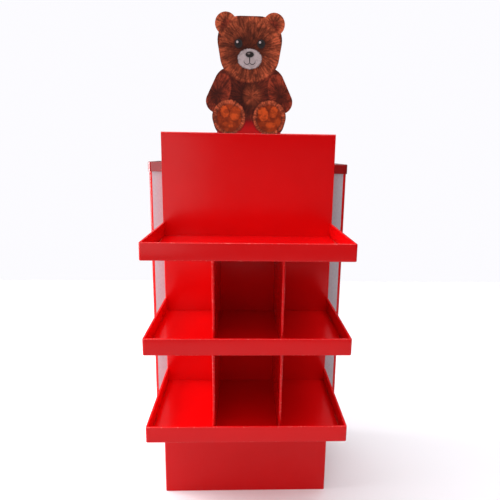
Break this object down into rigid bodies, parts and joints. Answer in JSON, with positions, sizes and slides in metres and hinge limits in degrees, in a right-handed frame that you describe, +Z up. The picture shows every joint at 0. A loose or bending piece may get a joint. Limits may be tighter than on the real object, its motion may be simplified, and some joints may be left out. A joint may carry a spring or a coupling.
{
  "type": "corrugated floor display stand",
  "caption": "Red corrugated-board floor display with open lipped trays, dividers, a tall header, hook-on side wings and a lift-off bear-shaped topper card.",
  "frame": {"origin": "on the floor, under the middle of the stand's overall length and width", "axes": "+Z up, shoppers stand on the -Y side, +X to their right"},
  "size_m": [0.736, 0.67, 1.734],
  "materials": {
    "red_board": "gloss",
    "kraft_board": "matte",
    "pale_board": "matte",
    "rivet_plastic": "satin",
    "topper_print": "satin"
  },
  "bodies": {
    "root": {"base_floor_tray": "kraft_board", "base_sleeve": "red_board", "base_brace_long": "kraft_board", "base_brace_left": "kraft_board", "base_brace_right": "kraft_board", "base_top_cap": "red_board", "column_front_shell": "red_board", "column_back_panel": "red_board", "column_brace_lower": "kraft_board", "column_brace_upper": "kraft_board", "column_top_cap": "red_board", "column_rivets": "rivet_plastic", "header_front_panel": "red_board", "header_spacer": "kraft_board", "header_rear_panel": "red_board", "bottom_tray": "red_board", "middle_tray": "red_board", "top_tray": "red_board", "bottom_divider_left": "red_board", "bottom_divider_right": "red_board", "middle_divider_left": "red_board", "middle_divider_right": "red_board"},
    "left_wing": {"left_wing_shell": "pale_board", "left_wing_cap": "red_board"},
    "right_wing": {"right_wing_shell": "pale_board", "right_wing_cap": "red_board"},
    "topper": {"topper_card": "topper_print"}
  },
  "joints": [
    {"name": "left_wing_lift", "type": "slide", "parent": "root", "child": "left_wing", "axis": [0, 0, 1], "range_m": [0, 0.025]},
    {"name": "right_wing_lift", "type": "slide", "parent": "root", "child": "right_wing", "axis": [0, 0, 1], "range_m": [0, 0.025]},
    {"name": "topper_lift", "type": "slide", "parent": "root", "child": "topper", "axis": [0, 0, 1], "range_m": [0, 0.06]}
  ]
}
